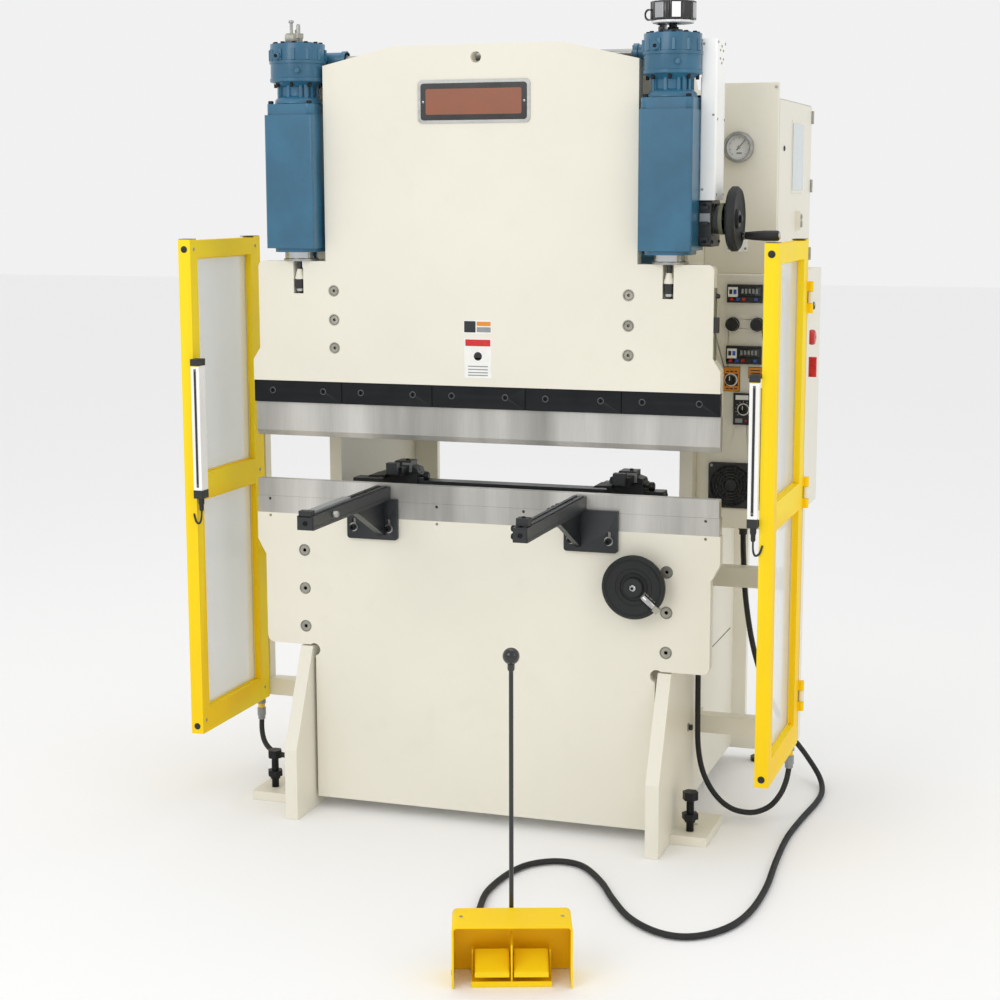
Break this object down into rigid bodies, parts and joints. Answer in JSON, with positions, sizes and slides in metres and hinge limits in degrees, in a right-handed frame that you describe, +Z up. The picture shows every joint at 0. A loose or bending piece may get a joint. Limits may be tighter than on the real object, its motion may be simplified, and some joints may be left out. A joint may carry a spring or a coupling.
{
  "type": "press_brake",
  "caption": "Hydraulic press brake with two side cylinders, hinged side guards, hand-set stops, manual backgauge, front sheet supports and a loose two-pedal foot unit.",
  "frame": {"origin": "on the floor, under the middle of the whole outline of machine and foot pedal", "axes": "+X to the operator's right along the bed, +Y from the operator towards the back, +Z up"},
  "size_m": [1.6478, 1.8709, 2.13],
  "materials": {
    "cream_paint": "satin",
    "blue_paint": "satin",
    "yellow_paint": "satin",
    "black_metal": "satin",
    "ground_steel": "brushed",
    "chrome": "polished",
    "white_paint": "satin",
    "black_plastic": "matte",
    "red_plastic": "gloss",
    "clear_pane": "clear",
    "rubber": "matte",
    "cast_black": "satin"
  },
  "bodies": {
    "frame": {"side_frame_left": "cream_paint", "side_frame_right": "cream_paint", "rear_plate": "cream_paint", "frame_fasteners": "black_metal", "table": "cream_paint", "die_rail": "ground_steel", "die": "ground_steel", "cylinders": "blue_paint", "stop_gearboxes": "blue_paint", "drive_cover": "white_paint", "belt_case": "black_metal", "drive_belt": "rubber", "electric_cabinet": "cream_paint", "control_box": "cream_paint", "panel_fittings": "black_plastic", "pressure_gauge": "black_metal", "power_unit": "blue_paint", "gauge_guides": "chrome", "guard_arms": "cream_paint", "pedal_base": "yellow_paint", "pedal_hood": "yellow_paint", "carry_rod": "black_metal", "pedal_cable": "rubber", "conduit_left": "rubber", "conduit_right": "rubber"},
    "ram_body": {"ram": "cream_paint", "gib_blocks": "black_metal", "clamp_bars": "black_metal", "punch": "ground_steel", "piston_rods": "chrome"},
    "guard_left_body": {"guard_left": "yellow_paint", "guard_left_panes": "clear_pane", "light_curtain_left": "white_paint"},
    "guard_right_body": {"guard_right": "yellow_paint", "guard_right_panes": "clear_pane", "light_curtain_right": "white_paint"},
    "hand_wheel_body": {"hand_wheel": "cast_black"},
    "wheel_grip_body": {"wheel_grip": "black_plastic"},
    "sync_shaft_body": {"sync_shaft": "ground_steel"},
    "stop_spindle_left_body": {"stop_spindle_left": "ground_steel"},
    "stop_spindle_right_body": {"stop_spindle_right": "ground_steel"},
    "front_wheel_body": {"front_wheel": "cast_black"},
    "front_grip_body": {"front_grip": "chrome"},
    "backgauge_beam_body": {"backgauge_beam": "black_metal"},
    "finger_left_body": {"finger_left": "black_metal"},
    "finger_right_body": {"finger_right": "black_metal"},
    "arm_left_body": {"arm_left": "black_metal"},
    "arm_right_body": {"arm_right": "black_metal"},
    "cabinet_door_body": {"cabinet_door": "cream_paint"},
    "button_left_body": {"button_left": "black_plastic"},
    "button_right_body": {"button_right": "black_plastic"},
    "selector_knob_body": {"selector_knob": "black_plastic"},
    "dial_knob_body": {"dial_knob": "black_plastic"},
    "estop_button_body": {"estop_button": "red_plastic"},
    "main_switch_body": {"main_switch": "red_plastic"},
    "side_knob_body": {"side_knob": "black_plastic"},
    "gauge_needle_body": {"gauge_needle": "black_metal"},
    "fan_rotor_body": {"fan_rotor": "black_plastic"},
    "pedal_left_body": {"pedal_left": "yellow_paint"},
    "pedal_right_body": {"pedal_right": "yellow_paint"}
  },
  "joints": [
    {"name": "ram_slide", "type": "slide", "parent": "frame", "child": "ram_body", "axis": [0, 0, -1], "range_m": [0, 0.12]},
    {"name": "wheel_turn", "type": "hinge", "parent": "frame", "child": "hand_wheel_body", "pos_m": [0.64, 0.167, 1.608], "axis": [1, 0, 0], "continuous": true},
    {"name": "wheel_grip_spin", "type": "hinge", "parent": "hand_wheel_body", "child": "wheel_grip_body", "pos_m": [0.7, 0.217, 1.566], "axis": [1, 0, 0], "continuous": true},
    {"name": "sync_turn", "type": "hinge", "parent": "frame", "child": "sync_shaft_body", "pos_m": [0, 0.167, 2.016], "axis": [1, 0, 0], "continuous": true},
    {"name": "stop_left_turn", "type": "hinge", "parent": "frame", "child": "stop_spindle_left_body", "pos_m": [-0.4995, 0.107, 2], "axis": [0, 0, 1], "continuous": true},
    {"name": "stop_right_turn", "type": "hinge", "parent": "frame", "child": "stop_spindle_right_body", "pos_m": [0.4995, 0.107, 2], "axis": [0, 0, 1], "continuous": true},
    {"name": "backgauge_slide", "type": "slide", "parent": "frame", "child": "backgauge_beam_body", "axis": [0, 1, 0], "range_m": [-0.05, 0.36]},
    {"name": "front_wheel_turn", "type": "hinge", "parent": "frame", "child": "front_wheel_body", "pos_m": [0.428, 0.051, 0.686], "axis": [0, 1, 0], "range_deg": [-920, 6500]},
    {"name": "front_grip_fold", "type": "hinge", "parent": "front_wheel_body", "child": "front_grip_body", "pos_m": [0.49215, 0.045, 0.63093], "axis": [0.6428, 0, 0.766], "range_deg": [0, 90]},
    {"name": "finger_left_slide", "type": "slide", "parent": "backgauge_beam_body", "child": "finger_left_body", "axis": [1, 0, 0], "range_m": [-0.09, 0.24]},
    {"name": "finger_right_slide", "type": "slide", "parent": "backgauge_beam_body", "child": "finger_right_body", "axis": [1, 0, 0], "range_m": [-0.28, 0.05]},
    {"name": "arm_left_height", "type": "slide", "parent": "frame", "child": "arm_left_body", "axis": [0, 0, -1], "range_m": [0, 0.02]},
    {"name": "arm_right_height", "type": "slide", "parent": "frame", "child": "arm_right_body", "axis": [0, 0, -1], "range_m": [0, 0.02]},
    {"name": "guard_left_hinge", "type": "hinge", "parent": "frame", "child": "guard_left_body", "pos_m": [-0.802, 0.4, 0.9], "axis": [0, 0, -1], "range_deg": [0, 100]},
    {"name": "guard_right_hinge", "type": "hinge", "parent": "frame", "child": "guard_right_body", "pos_m": [0.802, 0.4, 0.9], "axis": [0, 0, 1], "range_deg": [0, 100]},
    {"name": "cabinet_door_hinge", "type": "hinge", "parent": "frame", "child": "cabinet_door_body", "pos_m": [0.7064, 0.933, 1.69], "axis": [0, 0, 1], "range_deg": [0, 100]},
    {"name": "button_left_press", "type": "slide", "parent": "frame", "child": "button_left_body", "axis": [0, 1, 0], "range_m": [0, 0.0035], "stiffness_N_per_m": 500, "springref_m": -0.002},
    {"name": "button_right_press", "type": "slide", "parent": "frame", "child": "button_right_body", "axis": [0, 1, 0], "range_m": [0, 0.0035], "stiffness_N_per_m": 500, "springref_m": -0.002},
    {"name": "selector_turn", "type": "hinge", "parent": "frame", "child": "selector_knob_body", "pos_m": [0.607, 0.347, 1.19], "axis": [0, 1, 0], "range_deg": [-45, 45]},
    {"name": "dial_turn", "type": "hinge", "parent": "frame", "child": "dial_knob_body", "pos_m": [0.642, 0.342, 1.114], "axis": [0, 1, 0], "range_deg": [-135, 135]},
    {"name": "estop_press", "type": "slide", "parent": "frame", "child": "estop_button_body", "axis": [-1, 0, 0], "range_m": [0, 0.005], "stiffness_N_per_m": 900, "springref_m": -0.003},
    {"name": "main_switch_turn", "type": "hinge", "parent": "frame", "child": "main_switch_body", "pos_m": [0.77, 0.597, 1.207], "axis": [1, 0, 0], "range_deg": [0, 90]},
    {"name": "side_knob_turn", "type": "hinge", "parent": "frame", "child": "side_knob_body", "pos_m": [0.765, 0.612, 1.371], "axis": [1, 0, 0], "range_deg": [-135, 135]},
    {"name": "gauge_needle_turn", "type": "hinge", "parent": "frame", "child": "gauge_needle_body", "pos_m": [0.606, 0.409, 1.788], "axis": [0, 1, 0], "range_deg": [-175, 95]},
    {"name": "fan_spin", "type": "hinge", "parent": "frame", "child": "fan_rotor_body", "pos_m": [0.612, 0.367, 0.912], "axis": [0, 1, 0], "continuous": true},
    {"name": "pedal_left_press", "type": "hinge", "parent": "frame", "child": "pedal_left_body", "pos_m": [0.34527, -0.83036, 0.046], "axis": [0.9455, 0.3256, 0], "range_deg": [0, 12], "stiffness_Nm_per_rad": 3, "springref_deg": -14.32},
    {"name": "pedal_right_press", "type": "hinge", "parent": "frame", "child": "pedal_right_body", "pos_m": [0.42469, -0.80301, 0.046], "axis": [0.9455, 0.3256, 0], "range_deg": [0, 12], "stiffness_Nm_per_rad": 3, "springref_deg": -14.32}
  ],
  "couplings": [
    {"joint": "sync_turn", "follows": "wheel_turn", "ratio": 2},
    {"joint": "stop_left_turn", "follows": "wheel_turn", "ratio": 0.1},
    {"joint": "stop_right_turn", "follows": "wheel_turn", "ratio": 0.1},
    {"joint": "front_wheel_turn", "follows": "backgauge_slide", "rad_per_m": 314.16}
  ]
}
